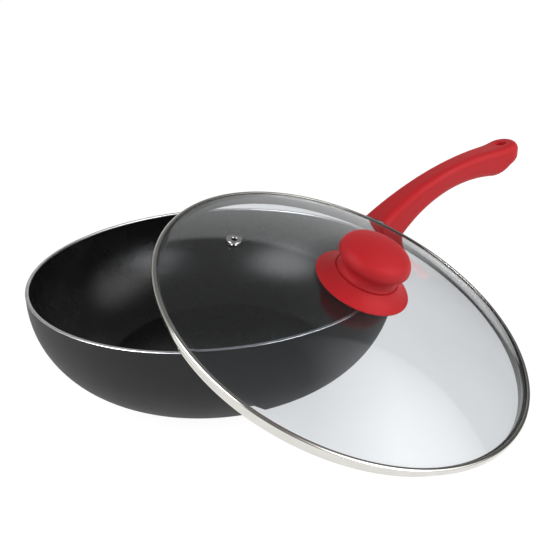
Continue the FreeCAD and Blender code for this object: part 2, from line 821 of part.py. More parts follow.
def make_knob():
    """The mushroom knob: a hollow shell with a boss and four ribs, open below."""
    foot_top = f"({COLLAR_TOP} + foot_height)"
    under = f"({APEX} + under_height)"
    join = crown_join("0")
    blank = revolved("knob_blank", [
        ("0", KNOB_LOW, "line", None),
        ("foot_radius", KNOB_LOW, "line", None),
        ("foot_radius", foot_top, "right", "neck_curve"),
        ("under_radius", under, "before", None),
        ("cap_radius", CAP_LEVEL, "left", "shoulder"),
        (*join, "left", CROWN_CURVE),
        ("0", f"{CROWN_CENTRE} + {CROWN_CURVE}", "line", None),
    ])
    inner_join = crown_join("knob_wall")
    crown = f"({CROWN_CURVE} - knob_wall)"
    hollow = revolved("knob_hollow", [
        ("boss_radius", KNOB_LOW, "line", None),
        ("foot_radius - knob_wall", KNOB_LOW, "line", None),
        ("foot_radius - knob_wall", foot_top, "right", "neck_curve + knob_wall"),
        ("under_radius - knob_wall", f"{under} + knob_wall / 2", "line", None),
        ("cap_radius - knob_wall", CAP_LEVEL, "left", "shoulder - knob_wall"),
        (*inner_join, "left", crown),
        ("boss_radius", f"{CROWN_CENTRE} + sqrt({crown}^2 - boss_radius^2)", "line", None),
    ])
    ribs = combined(
        "Part::Fuse", "knob_ribs",
        plate("rib_along", "2 * cap_radius", "rib_thick", "2 * cap_radius", APEX),
        plate("rib_across", "rib_thick", "2 * cap_radius", "2 * cap_radius", APEX),
    )
    quarters = combined("Part::Cut", "knob_quarters", hollow, ribs)
    shell = combined("Part::Cut", "knob_shell", blank, quarters)
    seat = cylinder("insert_seat", "insert_radius", "insert_length",
                    Placement(Vector(0, 0, size(KNOB_LOW)), Rotation()))
    return combined("Part::Cut", "knob", shell, seat)


def make_knob_stack():
    """What clamps the knob: insert, gasket, seal, cup washer and screw, from the top down."""
    hole = "(screw_radius + screw_fit)"
    insert = ring("knob_insert", hole, "insert_radius", KNOB_LOW, f"{KNOB_LOW} + insert_length")
    for number in (1, 2):
        middle = f"({KNOB_LOW} + insert_length * {number} / 3)"
        grooved(insert, f"insert_groove_{number}", [
            ("insert_radius * 0.8", f"{middle} - screw_slot / 2", "line", None),
            ("insert_radius * 1.1", f"{middle} - screw_slot / 2", "line", None),
            ("insert_radius * 1.1", f"{middle} + screw_slot / 2", "line", None),
            ("insert_radius * 0.8", f"{middle} + screw_slot / 2", "line", None),
        ])
    gasket = ring("knob_gasket", hole, "gasket_radius", APEX, GASKET_TOP)
    hollow = f"({DOME_CURVE} - glass_thick)"
    under = f"({DOME_CENTRE} + sqrt({hollow}^2 - seal_radius^2) - vent_fit)"
    seal_low = f"({under} - seal_thick)"
    seal = revolved("screw_seal", [
        (hole, seal_low, "line", None),
        ("seal_radius", seal_low, "line", None),
        ("seal_radius", under, "line", None),
        ("seal_collar", under, "line", None),
        ("seal_collar", f"{APEX} - vent_fit", "line", None),
        (hole, f"{APEX} - vent_fit", "line", None),
    ])
    cup_low = f"({seal_low} - cup_sheet)"
    cup = revolved("cup_washer", [
        (hole, cup_low, "line", None),
        ("cup_radius", cup_low, "line", None),
        ("cup_radius", f"{seal_low} + seal_thick / 2", "line", None),
        ("seal_radius + seam", f"{seal_low} + seal_thick / 2", "line", None),
        ("seal_radius + seam", seal_low, "line", None),
        (hole, seal_low, "line", None),
    ])
    rounded(cup, "cup_edge", "cup_sheet * 0.8", at_ring(("cup_radius", cup_low)))
    screw = make_screw("knob_screw", cup_low, f"{KNOB_LOW} + insert_length * 0.85", Placement())
    return [insert, gasket, seal, cup, screw]


def lean():
    """The lid's place, its skirt standing on the table and its glass lying on the rim.

    The lid's own X points straight down its slope.  The underside of the glass is a sphere
    that meets the rim where the rim is farthest from the sphere's centre.
    """
    under = f"({DOME_CURVE} - glass_thick - lean_gap)"
    height = f"({SKIRT_RADIUS} * sin(lean_tilt))"
    above = f"({height} + {DOME_CENTRE} * cos(lean_tilt) - pan_height)"
    away = f"(sqrt({under}^2 - {above}^2) - pan_radius)"
    along = f"(-sqrt({away}^2 - lean_shift^2) - {DOME_CENTRE} * sin(lean_tilt))"
    turn = Rotation(UP, size("lean_turn"))
    spot = turn.multVec(Vector(size(along), size("lean_shift"), size(height)))
    return Placement(spot, turn.multiply(Rotation(Vector(0, 1, 0), size("lean_tilt"))))


# ---------------------------------------------------------------- the whole

def make_parts():
    """Every sub-part in its place."""
    envelope = make_bowl_envelope()
    tongue, bracket = make_bracket(envelope)
    pan = [make_bowl(), bracket, make_flame_guard(envelope), *make_handle(tongue)]
    vent = make_vent()
    lid = [make_band(), make_glass(), make_finger_guard(), make_knob(), *make_knob_stack()]
    leaned = lean()
    for piece in lid:
        piece.Placement = leaned.multiply(piece.Placement)
    for piece in vent:
        piece.Placement = leaned.multiply(vent_frame())
    doc.recompute()
    return pan + lid + vent


parts = make_parts()

for thing in doc.Objects:
    if "Invalid" in thing.State or "Error" in thing.State:
        raise RuntimeError(f"{thing.Label} did not compute")
os.makedirs("parts", exist_ok=True)
for part in parts:
    shape = part.Shape
    if shape.isNull() or not shape.isValid():
        raise RuntimeError(f"{part.Label} has no valid shape")
    shape.exportStep(f"parts/{part.Label}.step")
    box = shape.BoundBox
    print(f"{part.Label}: {len(shape.Solids)} solid, {shape.Volume:.0f} mm3,"
          f" x {box.XMin:.1f}..{box.XMax:.1f}, y {box.YMin:.1f}..{box.YMax:.1f},"
          f" z {box.ZMin:.1f}..{box.ZMax:.1f}")
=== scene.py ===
"""Looks of a deep non-stick wok with a soft-grip handle and a domed glass lid on its rim."""
import math

import bmesh
import bpy
from bpy.props import FloatProperty, FloatVectorProperty, PointerProperty, StringProperty
from mathutils import Euler, Matrix, Vector


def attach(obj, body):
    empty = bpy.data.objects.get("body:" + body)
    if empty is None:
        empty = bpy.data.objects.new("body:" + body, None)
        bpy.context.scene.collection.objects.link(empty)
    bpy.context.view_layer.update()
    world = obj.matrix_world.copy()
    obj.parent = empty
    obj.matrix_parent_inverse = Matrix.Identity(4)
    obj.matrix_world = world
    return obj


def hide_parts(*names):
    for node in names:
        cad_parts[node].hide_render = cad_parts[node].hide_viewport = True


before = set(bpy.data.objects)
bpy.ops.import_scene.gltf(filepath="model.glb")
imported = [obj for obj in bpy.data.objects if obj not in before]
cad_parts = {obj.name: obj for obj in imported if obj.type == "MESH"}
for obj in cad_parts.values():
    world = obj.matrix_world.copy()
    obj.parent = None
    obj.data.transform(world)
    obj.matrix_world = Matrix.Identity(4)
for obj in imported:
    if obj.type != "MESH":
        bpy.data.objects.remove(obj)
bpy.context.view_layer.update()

bl_info = {
    "name": "Wok with glass lid",
    "version": (1, 0, 0),
    "blender": (4, 5, 0),
    "location": "3D Viewport > Sidebar > Wok",
    "description": "Makes the finished pieces of a non-stick wok and its glass lid",
    "category": "Object",
}

MM = 0.001
ROUND = 2 * math.pi


# ---- sizes and colours

class WokPanSizes(bpy.types.PropertyGroup):
    """Sizes and colours of the pan."""

    rim_radius: FloatProperty(
        name="Rim radius", description="Outside radius of the pan at its rim",
        default=0.140, min=0.08, max=0.2, subtype="DISTANCE", unit="LENGTH")
    height: FloatProperty(
        name="Height", description="Height of the rim above the table",
        default=0.0794, min=0.03, max=0.15, subtype="DISTANCE", unit="LENGTH")
    wall: FloatProperty(
        name="Wall", description="Thickness of the pressed wall",
        default=0.0028, min=0.001, max=0.006, subtype="DISTANCE", unit="LENGTH")
    base_radius: FloatProperty(
        name="Base radius", description="Radius of the flat machined base",
        default=0.0835, min=0.04, max=0.12, subtype="DISTANCE", unit="LENGTH")
    base_thick: FloatProperty(
        name="Base thickness", description="Thickness of the base",
        default=0.0036, min=0.001, max=0.01, subtype="DISTANCE", unit="LENGTH")
    rim_band: FloatProperty(
        name="Upright band", description="Height of the upright part of the wall under the rim",
        default=0.0083, min=0.0, max=0.03, subtype="DISTANCE", unit="LENGTH")
    rim_round: FloatProperty(
        name="Lip rounding", description="Rounding of the bare lip's two edges",
        default=0.0011, min=0.0001, max=0.0013, subtype="DISTANCE", unit="LENGTH")
    floor_blend: FloatProperty(
        name="Floor blend", description="Radius between the cooking floor and the wall",
        default=0.014, min=0.002, max=0.03, subtype="DISTANCE", unit="LENGTH")
    ring_pitch: FloatProperty(
        name="Ring pitch", description="Distance between the grooves turned in the base",
        default=0.013, min=0.004, max=0.03, subtype="DISTANCE", unit="LENGTH")
    ring_width: FloatProperty(
        name="Ring width", description="Width of each groove in the base",
        default=0.0014, min=0.0005, max=0.003, subtype="DISTANCE", unit="LENGTH")
    ring_depth: FloatProperty(
        name="Ring depth", description="Depth of each groove in the base",
        default=0.0005, min=0.0001, max=0.001, subtype="DISTANCE", unit="LENGTH")
    lacquer: StringProperty(
        name="Lacquer colour", description="sRGB hex colour of the outside lacquer",
        default="2B2B2C")
    coating: StringProperty(
        name="Coating colour", description="sRGB hex colour of the non-stick coating",
        default="131313")


class WokHandleSizes(bpy.types.PropertyGroup):
    """Colours and surface of the handle, the knob and its brim."""

    red: StringProperty(
        name="Grip colour", description="sRGB hex colour of the soft-touch pieces",
        default="C01C23")
    core: StringProperty(
        name="Core colour", description="sRGB hex colour of the handle's hard core",
        default="1B1B1C")
    grain: FloatProperty(
        name="Grain", description="Distance between the grains of the soft-touch surface",
        default=0.0006, min=0.0001, max=0.003, subtype="DISTANCE", unit="LENGTH")


class WokLidSizes(bpy.types.PropertyGroup):
    """Sizes, place and colours of the lid."""

    outer_radius: FloatProperty(
        name="Band radius", description="Outside radius of the steel band",
        default=0.14125, min=0.08, max=0.2, subtype="DISTANCE", unit="LENGTH")
    skirt_radius: FloatProperty(
        name="Skirt radius", description="Outside radius of the skirt that drops into the pan",
        default=0.1362, min=0.08, max=0.2, subtype="DISTANCE", unit="LENGTH")
    skirt_drop: FloatProperty(
        name="Skirt drop", description="Height of the skirt below the band's shelf",
        default=0.0067, min=0.002, max=0.02, subtype="DISTANCE", unit="LENGTH")
    sheet: FloatProperty(
        name="Band sheet", description="Thickness of the band's steel sheet",
        default=0.0005, min=0.0002, max=0.001, subtype="DISTANCE", unit="LENGTH")
    bend: FloatProperty(
        name="Band bend", description="Outside radius of the band's bends",
        default=0.0014, min=0.0006, max=0.002, subtype="DISTANCE", unit="LENGTH")
    lip: FloatProperty(
        name="Band lip", description="How far the band reaches over the glass",
        default=0.0028, min=0.001, max=0.01, subtype="DISTANCE", unit="LENGTH")
    crown: FloatProperty(
        name="Band crown", description="How far the lip falls from its bend to its foot",
        default=0.00022, min=0.0, max=0.0005, subtype="DISTANCE", unit="LENGTH")
    glass_thick: FloatProperty(
        name="Glass thickness", description="Thickness of the tempered glass",
        default=0.004, min=0.002, max=0.008, subtype="DISTANCE", unit="LENGTH")
    place: FloatVectorProperty(
        name="Place", description="Where the middle of the skirt's lower edge lies",
        default=(0.04778245412194671, -0.10240107514506029, 0.05842096516950845),
        subtype="TRANSLATION", unit="LENGTH")
    tilt: FloatProperty(
        name="Tilt", description="How steeply the lid leans",
        default=math.radians(25.4), subtype="ANGLE", unit="ROTATION")
    turn: FloatProperty(
        name="Turn", description="The compass direction in which the lid slopes down",
        default=math.radians(-62.5), subtype="ANGLE", unit="ROTATION")
    dome_curve: FloatProperty(
        name="Dome curve", description="Radius of the dome's outer surface",
        default=0.40436325, min=0.2, max=1.0, subtype="DISTANCE", unit="LENGTH")
    glass_radius: FloatProperty(
        name="Glass radius", description="Outside radius of the glass",
        default=0.14025, min=0.08, max=0.2, subtype="DISTANCE", unit="LENGTH")
    dome_foot: FloatProperty(
        name="Dome foot", description="Radius at which the dome rises from its flat rim",
        default=0.13765, min=0.08, max=0.2, subtype="DISTANCE", unit="LENGTH")
    glass_hole: FloatProperty(
        name="Knob hole", description="Radius of the hole for the knob's screw",
        default=0.004, min=0.002, max=0.01, subtype="DISTANCE", unit="LENGTH")
    vent_hole: FloatProperty(
        name="Vent hole", description="Radius of the hole for the steam vent",
        default=0.00306, min=0.001, max=0.01, subtype="DISTANCE", unit="LENGTH")
    vent_place: FloatVectorProperty(
        name="Vent place", description="Where the vent's hole leaves the glass, on the lid",
        default=(-0.0877269, -0.0290129, 0.0246514), subtype="TRANSLATION", unit="LENGTH")
    vent_way: FloatVectorProperty(
        name="Vent direction", description="The axis of the vent's hole, on the lid",
        default=(-0.216951, -0.0717496, 0.973542), subtype="XYZ")
    glass_round: FloatProperty(
        name="Glass edge", description="Rounding of the glass's ground edge",
        default=0.0012, min=0.0002, max=0.0019, subtype="DISTANCE", unit="LENGTH")
    # The tint is greyer than the glass alone. That extra grey is painted shade, standing in for the
    # shaded floor seen through the lid.
    tint: StringProperty(
        name="Glass tint", description="sRGB hex colour of the glass",
        default="DBDEE1")


class WokStageSizes(bpy.types.PropertyGroup):
    """Camera, floor and lamps."""

    lens: FloatProperty(
        name="Lens", description="Focal length of the camera", default=50.24, unit="CAMERA")
    eye: FloatVectorProperty(
        name="Camera place", description="Where the camera stands",
        default=(-0.25735, -0.50076, 0.30895), subtype="TRANSLATION", unit="LENGTH")
    heading: FloatProperty(
        name="Camera heading", description="Direction in which the camera looks, from +X",
        default=math.radians(57.5), subtype="ANGLE", unit="ROTATION")
    dip: FloatProperty(
        name="Camera dip", description="How far the camera looks down",
        default=math.radians(23.55), subtype="ANGLE", unit="ROTATION")
    roll: FloatProperty(
        name="Camera roll", description="How far the camera leans to its side",
        default=math.radians(-2.29), subtype="ANGLE", unit="ROTATION")
    floor: StringProperty(
        name="Floor colour", description="sRGB hex colour of the paper floor", default="F4F4F4")
    ambient: FloatProperty(
        name="Room light", description="Strength of the even light of the room", default=0.30)


# ---- nodes and materials

# A noise pattern's values lie mostly between these two.
LOW, HIGH = 0.3, 0.7


def linear(code):
    """An sRGB hex colour as linear red, green, blue and alpha."""
    parts = [int(code[i:i + 2], 16) / 255 for i in (0, 2, 4)]
    return tuple(c / 12.92 if c <= 0.04045 else ((c + 0.055) / 1.055) ** 2.4
                 for c in parts) + (1.0,)


def socket_of(sockets, key):
    """The socket in use with that name, or at that number."""
    if isinstance(key, int):
        return sockets[key]
    return next(s for s in sockets if s.name == key and s.enabled)


def add(tree, kind, inputs=None, **settings):
    """Adds a node with its settings; an input takes a value, a socket or a node's first output."""
    node = tree.nodes.new(kind)
    for name, value in settings.items():
        setattr(node, name, value)
    for key, value in (inputs or {}).items():
        socket = socket_of(node.inputs, key)
        if isinstance(value, bpy.types.Node):
            value = next(s for s in value.outputs if s.enabled)
        if isinstance(value, bpy.types.NodeSocket):
            tree.links.new(value, socket)
        else:
            socket.default_value = value
    return node


def new_finish(name, **shader):
    """A new material with one surface shader; returns the material, its tree and the shader."""
    material = bpy.data.materials.new(name)
    material.use_nodes = True
    tree = material.node_tree
    tree.nodes.clear()
    surface = add(tree, "ShaderNodeBsdfPrincipled", {
        key.replace("_", " "): value for key, value in shader.items()})
    add(tree, "ShaderNodeOutputMaterial", {"Surface": surface})
    return material, tree, surface


def own_place(tree, lid=None):
    """Object coordinates, for a lid piece turned upright about the lid's own axis."""
    place = add(tree, "ShaderNodeTexCoord").outputs["Object"]
    if lid is None:
        return place
    return add(tree, "ShaderNodeMapping", {
        "Vector": place,
        "Location": tuple(lid.to_translation()),
        "Rotation": tuple(lid.to_euler()),
    }, vector_type="TEXTURE").outputs[0]


def two_toned(tree, shader, pattern, first, second):
    """Colours a surface between two hex colours, as a pattern goes from dark to light."""
    tone = add(tree, "ShaderNodeMix", {
        "Factor": pattern, "A": linear(first), "B": linear(second)}, data_type="RGBA")
    tree.links.new(socket_of(tone.outputs, "Result"), shader.inputs["Base Color"])


def mottled(tree, shader, colour, fine, darkest, lightest, broad):
    """Colours a surface with one hex colour, which two patterns make darker and lighter."""
    near = add(tree, "ShaderNodeMapRange", {
        "Value": fine, "From Min": LOW, "From Max": HIGH, "To Min": darkest, "To Max": lightest})
    far = add(tree, "ShaderNodeMapRange", {
        "Value": broad, "From Min": LOW, "From Max": HIGH, "To Min": 0.97, "To Max": 1.03})
    tone = add(tree, "ShaderNodeMath", {0: near, 1: far}, operation="MULTIPLY")
    shade = add(tree, "ShaderNodeVectorMath", {
        0: linear(colour)[:3], "Scale": tone}, operation="SCALE")
    tree.links.new(shade.outputs[0], shader.inputs["Base Color"])


def worn(tree, shader, gloss, smooth, rough, relief, strength, depth):
    """Roughness between two values after one pattern, and bumps of a depth after another."""
    shine = add(tree, "ShaderNodeMapRange", {
        "Value": gloss, "From Min": LOW, "From Max": HIGH, "To Min": smooth, "To Max": rough})
    bump = add(tree, "ShaderNodeBump", {"Strength": strength, "Distance": depth, "Height": relief})
    tree.links.new(shine.outputs[0], shader.inputs["Roughness"])
    tree.links.new(bump.outputs[0], shader.inputs["Normal"])


def sprayed_lacquer(colour):
    """Heat-resistant lacquer sprayed on aluminium: satin, with a fine orange peel."""
    material, tree, shader = new_finish("heat_resistant_lacquer_sprayed", IOR=1.30)
    place = own_place(tree)
    # The peel's cells are 0.9 mm across. The flake is finer than 0.5 mm, and drawn coarser.
    peel = add(tree, "ShaderNodeTexNoise", {"Vector": place, "Scale": 1 / (0.9 * MM)})
    flake = add(tree, "ShaderNodeTexNoise", {
        "Vector": place, "Scale": 1 / (0.5 * MM), "Detail": 1.0})
    cloud = add(tree, "ShaderNodeTexNoise", {"Vector": place, "Scale": 1 / (35 * MM)})
    mottled(tree, shader, colour, flake, 0.92, 1.08, cloud)
    worn(tree, shader, cloud, 0.50, 0.56, peel, strength=0.25, depth=0.03 * MM)
    return material


def baked_nonstick(colour):
    """PTFE coating sprayed on and baked: near black and matt, with a faint mica sparkle painted in
    as lighter flecks.
    """
    material, tree, shader = new_finish("ptfe_coating_baked", IOR=1.37)
    place = own_place(tree)
    # Mica flakes are 0.05 mm; they are drawn in cells of 0.9 mm so that a few show.
    mica = add(tree, "ShaderNodeTexVoronoi", {"Vector": place, "Scale": 1 / (0.9 * MM)})
    grain = add(tree, "ShaderNodeTexNoise", {"Vector": place, "Scale": 1 / (0.6 * MM)})
    cloud = add(tree, "ShaderNodeTexNoise", {
        "Vector": place, "Scale": 1 / (25 * MM), "Detail": 3.0})
    # Near each mica cell the coating is coloured lighter: a painted glint that stands in for the
    # flakes' sparkle.
    mica_fleck_and_painted_glint = add(tree, "ShaderNodeMapRange", {
        "Value": mica.outputs["Distance"], "From Max": 0.12, "To Min": 1.0, "To Max": 0.0})
    two_toned(tree, shader, mica_fleck_and_painted_glint, colour, "1C1C1C")
    worn(tree, shader, cloud, 0.25, 0.29, grain, strength=0.12, depth=0.02 * MM)
    return material


def turned_aluminium():
    """Aluminium turned bare on a lathe: bright, with rings left by the tool."""
    material, tree, shader = new_finish("aluminium_turned", Metallic=1.0)
    place = own_place(tree)
    flat = add(tree, "ShaderNodeVectorMath", {0: place, 1: (1, 1, 0)}, operation="MULTIPLY")
    across = add(tree, "ShaderNodeVectorMath", {0: flat}, operation="LENGTH").outputs["Value"]
    # The tool's feed is 0.15 mm a turn, drawn as wide as 0.45 mm so that it shows.
    feed = add(tree, "ShaderNodeMath", {0: across, 1: ROUND / (0.45 * MM)}, operation="MULTIPLY")
    groove = add(tree, "ShaderNodeMath", {0: feed}, operation="SINE")
    patch = add(tree, "ShaderNodeTexNoise", {"Vector": place, "Scale": 1 / (6 * MM), "Detail": 3.0})
    stain = add(tree, "ShaderNodeMapRange", {"Value": patch, "From Min": 0.35, "From Max": 0.65})
    two_toned(tree, shader, stain, "D2D3D5", "C4C5C8")
    worn(tree, shader, patch, 0.28, 0.38, groove, strength=0.15, depth=0.02 * MM)
    return material


def rolled_steel(name, lid=None, rough=0.12, colour="D8D6D0", patch_colour="CBC9C4"):
    """Stainless steel sheet, rolled and annealed: bright to satin, with faint draw lines."""
    material, tree, shader = new_finish(name, Metallic=1.0)
    place = own_place(tree, lid)
    # Draw lines run round the piece, about 0.25 mm apart in height and 50 mm long.
    lines = add(tree, "ShaderNodeMapping", {"Vector": place, "Scale": (20, 20, 1 / (0.25 * MM))})
    drawn = add(tree, "ShaderNodeTexNoise", {"Vector": lines, "Scale": 1.0, "Detail": 3.0})
    patch = add(tree, "ShaderNodeTexNoise", {"Vector": place, "Scale": 1 / (9 * MM)})
    two_toned(tree, shader, patch, colour, patch_colour)
    worn(tree, shader, drawn, rough * 0.8, rough * 1.3, drawn, strength=0.12, depth=0.01 * MM)
    return material


def brushed_steel():
    """Stainless sheet drawn to a sleeve and brushed round: satin, with fine lines."""
    material, tree, shader = new_finish("stainless_steel_brushed", Metallic=1.0)
    place = own_place(tree)
    # Brush lines are 0.05 mm apart, drawn at 0.3 mm.
    lines = add(tree, "ShaderNodeMapping", {"Vector": place, "Scale": (1 / (0.3 * MM), 30, 30)})
    drawn = add(tree, "ShaderNodeTexNoise", {"Vector": lines, "Scale": 1.0, "Detail": 4.0})
    two_toned(tree, shader, drawn, "B9B9B8", "D2D2D0")
    worn(tree, shader, drawn, 0.24, 0.38, drawn, strength=0.3, depth=0.02 * MM)
    return material


def cast_aluminium():
    """Aluminium die cast and shot blasted: pale and dull, with a sandy grain."""
    material, tree, shader = new_finish("aluminium_die_cast", Metallic=1.0)
    sand = add(tree, "ShaderNodeTexNoise", {
        "Vector": own_place(tree), "Scale": 1 / (0.5 * MM), "Detail": 3.0})
    two_toned(tree, shader, sand, "9FA0A2", "BDBEC0")
    worn(tree, shader, sand, 0.45, 0.6, sand, strength=0.5, depth=0.06 * MM)
    return material


def soft_touch(name, colour, grain, lid=None):
    """Thermoplastic rubber moulded in a spark-eroded mould: matt, with a fine even grain."""
    material, tree, shader = new_finish(name, IOR=1.45, Sheen_Weight=0.04,
                                        Sheen_Roughness=0.5, Sheen_Tint=linear("F2C9C6"))
    place = own_place(tree, lid)
    pebble = add(tree, "ShaderNodeTexNoise", {
        "Vector": place, "Scale": 1 / grain, "Roughness": 0.55})
    cloud = add(tree, "ShaderNodeTexNoise", {"Vector": place, "Scale": 1 / (22 * MM)})
    mottled(tree, shader, colour, pebble, 0.95, 1.04, cloud)
    worn(tree, shader, cloud, 0.56, 0.64, pebble, strength=0.3, depth=0.03 * MM)
    return material


def moulded_phenolic(colour):
    """Phenolic resin pressed in a hot mould: hard and black with a dull shine."""
    material, tree, shader = new_finish("phenolic_resin_moulded", IOR=1.6)
    flow = add(tree, "ShaderNodeTexNoise", {
        "Vector": own_place(tree), "Scale": 1 / (5 * MM), "Detail": 3.0, "Distortion": 0.8})
    two_toned(tree, shader, flow, colour, "262627")
    worn(tree, shader, flow, 0.32, 0.45, flow, strength=0.2, depth=0.02 * MM)
    return material


def moulded_silicone():
    """Silicone rubber, moulded and left clear: milky, soft and slightly dusty."""
    material, tree, shader = new_finish("silicone_rubber_moulded", IOR=1.41,
                                        Transmission_Weight=0.25, Subsurface_Weight=0.2)
    dust = add(tree, "ShaderNodeTexNoise", {
        "Vector": own_place(tree), "Scale": 1 / (1.5 * MM), "Detail": 3.0})
    two_toned(tree, shader, dust, "DADCD9", "F0F1EE")
    worn(tree, shader, dust, 0.4, 0.55, dust, strength=0.2, depth=0.02 * MM)
    return material


def plated_steel():
    """Screw steel, cold headed and zinc plated: bluish bright with soft cloudy patches."""
    material, tree, shader = new_finish("steel_zinc_plated", Metallic=1.0)
    cloud = add(tree, "ShaderNodeTexNoise", {
        "Vector": own_place(tree), "Scale": 1 / (1.2 * MM), "Detail": 3.0})
    two_toned(tree, shader, cloud, "B4B8BC", "D6D8D9")
    worn(tree, shader, cloud, 0.22, 0.38, cloud, strength=0.2, depth=0.01 * MM)
    return material


def turned_brass(lid):
    """Free-cutting brass turned from bar: warm yellow with close tool rings."""
    material, tree, shader = new_finish("brass_turned", Metallic=1.0)
    # The tool's rings are 0.1 mm apart along the insert's axis, drawn at 0.3 mm.
    rings = add(tree, "ShaderNodeMapping", {
        "Vector": own_place(tree, lid), "Scale": (60, 60, 1 / (0.3 * MM))})
    tool = add(tree, "ShaderNodeTexNoise", {"Vector": rings, "Scale": 1.0})
    two_toned(tree, shader, tool, "C9A765", "DCC07F")
    worn(tree, shader, tool, 0.2, 0.34, tool, strength=0.3, depth=0.02 * MM)
    return material


def tempered_glass(tint, lid):
    """Soda-lime glass, pressed to a dome and tempered: clear, a little grey, slightly wavy; the
    grey is deepened as painted shade of the floor seen through it.
    """
    material, tree, shader = new_finish("soda_lime_glass_tempered", IOR=1.52,
                                        Transmission_Weight=1.0, Base_Color=linear(tint))
    place = own_place(tree, lid)
    # The tempering rollers leave waves some 40 mm long; wiped film dulls it in patches of 30 mm.
    wave = add(tree, "ShaderNodeTexNoise", {"Vector": place, "Scale": 1 / (40 * MM), "Detail": 1.0})
    film = add(tree, "ShaderNodeTexNoise", {"Vector": place, "Scale": 1 / (30 * MM), "Detail": 3.0})
    shine = add(tree, "ShaderNodeMapRange", {
        "Value": film, "From Min": 0.35, "From Max": 0.7, "To Max": 0.006})
    bump = add(tree, "ShaderNodeBump", {"Strength": 0.1, "Distance": 0.06 * MM, "Height": wave})
    tree.links.new(shine.outputs[0], shader.inputs["Roughness"])
    tree.links.new(bump.outputs[0], shader.inputs["Normal"])
    return material


# ---- turned pieces

# How many steps a turned piece has round it; the band's bright bends need more.
STEPS_ROUND, BAND_STEPS_ROUND = 256, 480
# An edge that turns by more than this is a hard line.
CREASE = math.radians(35)
# Points of a section line this close are one point; vertices this close are one vertex.
SAME_POINT = 0.003 * MM
SAME_VERTEX = 0.002 * MM


def arc(centre, start, end, steps):
    """Points that follow start round a centre to end, the short way."""
    a = math.atan2(start[1] - centre[1], start[0] - centre[0])
    b = math.atan2(end[1] - centre[1], end[0] - centre[0])
    swing = (b - a + math.pi) % ROUND - math.pi
    first = math.dist(centre, start)
    last = math.dist(centre, end)
    points = []
    for step in range(1, steps + 1):
        share = step / steps
        reach = first + (last - first) * share
        points.append((centre[0] + reach * math.cos(a + swing * share),
                       centre[1] + reach * math.sin(a + swing * share)))
    return points


def bent(corners, radii, steps):
    """An open line through corners, each rounded by its radius."""
    points = [corners[0]]
    for index in range(1, len(corners) - 1):
        at = Vector(corners[index])
        radius = radii[index]
        if not radius:
            points.append(tuple(at))
            continue
        back = (Vector(corners[index - 1]) - at).normalized()
        on = (Vector(corners[index + 1]) - at).normalized()
        half = back.angle(on) / 2
        reach = radius / math.tan(half)
        centre = at + (back + on).normalized() * (radius / math.sin(half))
        start = at + back * reach
        points.append(tuple(start))
        points += arc(tuple(centre), tuple(start), tuple(at + on * reach), steps)
    points.append(corners[-1])
    return points


def new_form(name, *inputs):
    """A new Geometry Nodes tree with named inputs; returns the tree and the inputs' sockets."""
    tree = bpy.data.node_groups.new(name, "GeometryNodeTree")
    for label, kind in inputs:
        tree.interface.new_socket(label, in_out="INPUT", socket_type="NodeSocket" + kind)
    tree.interface.new_socket("Piece", in_out="OUTPUT", socket_type="NodeSocketGeometry")
    return tree, add(tree, "NodeGroupInput").outputs


def creased(tree, form):
    """Shades a form smooth, with a hard line along its sharp edges."""
    smooth = add(tree, "GeometryNodeSetShadeSmooth", {"Geometry": form, "Shade Smooth": True})
    sharp = add(tree, "FunctionNodeCompare", {
        "A": add(tree, "GeometryNodeInputMeshEdgeAngle").outputs["Unsigned Angle"], "B": CREASE,
    }, data_type="FLOAT", operation="GREATER_THAN")
    return add(tree, "GeometryNodeSetShadeSmooth", {
        "Geometry": smooth, "Selection": sharp, "Shade Smooth": False}, domain="EDGE")


